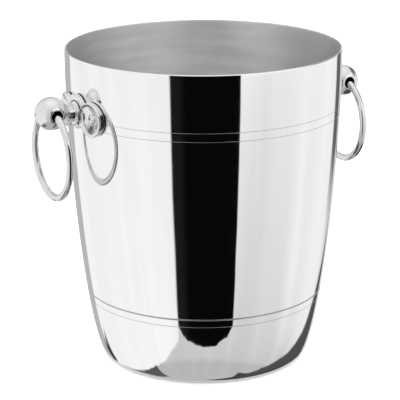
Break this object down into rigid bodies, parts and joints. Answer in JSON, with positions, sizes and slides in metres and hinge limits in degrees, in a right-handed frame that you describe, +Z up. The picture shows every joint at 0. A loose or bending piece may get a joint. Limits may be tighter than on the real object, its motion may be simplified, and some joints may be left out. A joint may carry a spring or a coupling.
{
  "type": "champagne bucket",
  "caption": "Barrel-tapered polished metal champagne bucket with an open top, flat base, turned lines and a ring handle hanging from a drilled ball knob on each side.",
  "frame": {"origin": "centre of the flat underside of the base, on the surface that the bucket stands on", "axes": "+Z up through the open mouth; X through the two handles, the left one at -X; Y along the axes of the rings' holes"},
  "size_m": [0.2667, 0.2, 0.2315],
  "materials": {
    "polished_shell": "mirror polished outside, spun satin inside",
    "cast_handle_metal": "polished casting",
    "ring_metal": "polished rod",
    "rivet_metal": "polished",
    "screw_steel": "plain"
  },
  "bodies": {
    "bucket": {"bucket_body": "polished_shell", "left_mount_plate": "cast_handle_metal", "left_knob": "cast_handle_metal", "left_rivet_back": "rivet_metal", "left_rivet_burr_back": "rivet_metal", "left_rivet_front": "rivet_metal", "left_rivet_burr_front": "rivet_metal", "left_knob_screw": "screw_steel", "left_screw_washer": "screw_steel", "right_mount_plate": "cast_handle_metal", "right_knob": "cast_handle_metal", "right_rivet_front": "rivet_metal", "right_rivet_burr_front": "rivet_metal", "right_rivet_back": "rivet_metal", "right_rivet_burr_back": "rivet_metal", "right_knob_screw": "screw_steel", "right_screw_washer": "screw_steel"},
    "left_ring_body": {"left_ring": "ring_metal"},
    "right_ring_body": {"right_ring": "ring_metal"}
  },
  "joints": [
    {"name": "left_ring_swing", "type": "hinge", "parent": "bucket", "child": "left_ring_body", "pos_m": [-0.12053, 0.00198, 0.19532], "axis": [0.0262, 0.9997, 0], "range_deg": [-20, 205]},
    {"name": "right_ring_swing", "type": "hinge", "parent": "bucket", "child": "right_ring_body", "pos_m": [0.12061, 0, 0.19241], "axis": [-0.0384, -0.9993, 0], "range_deg": [-20, 205]}
  ]
}
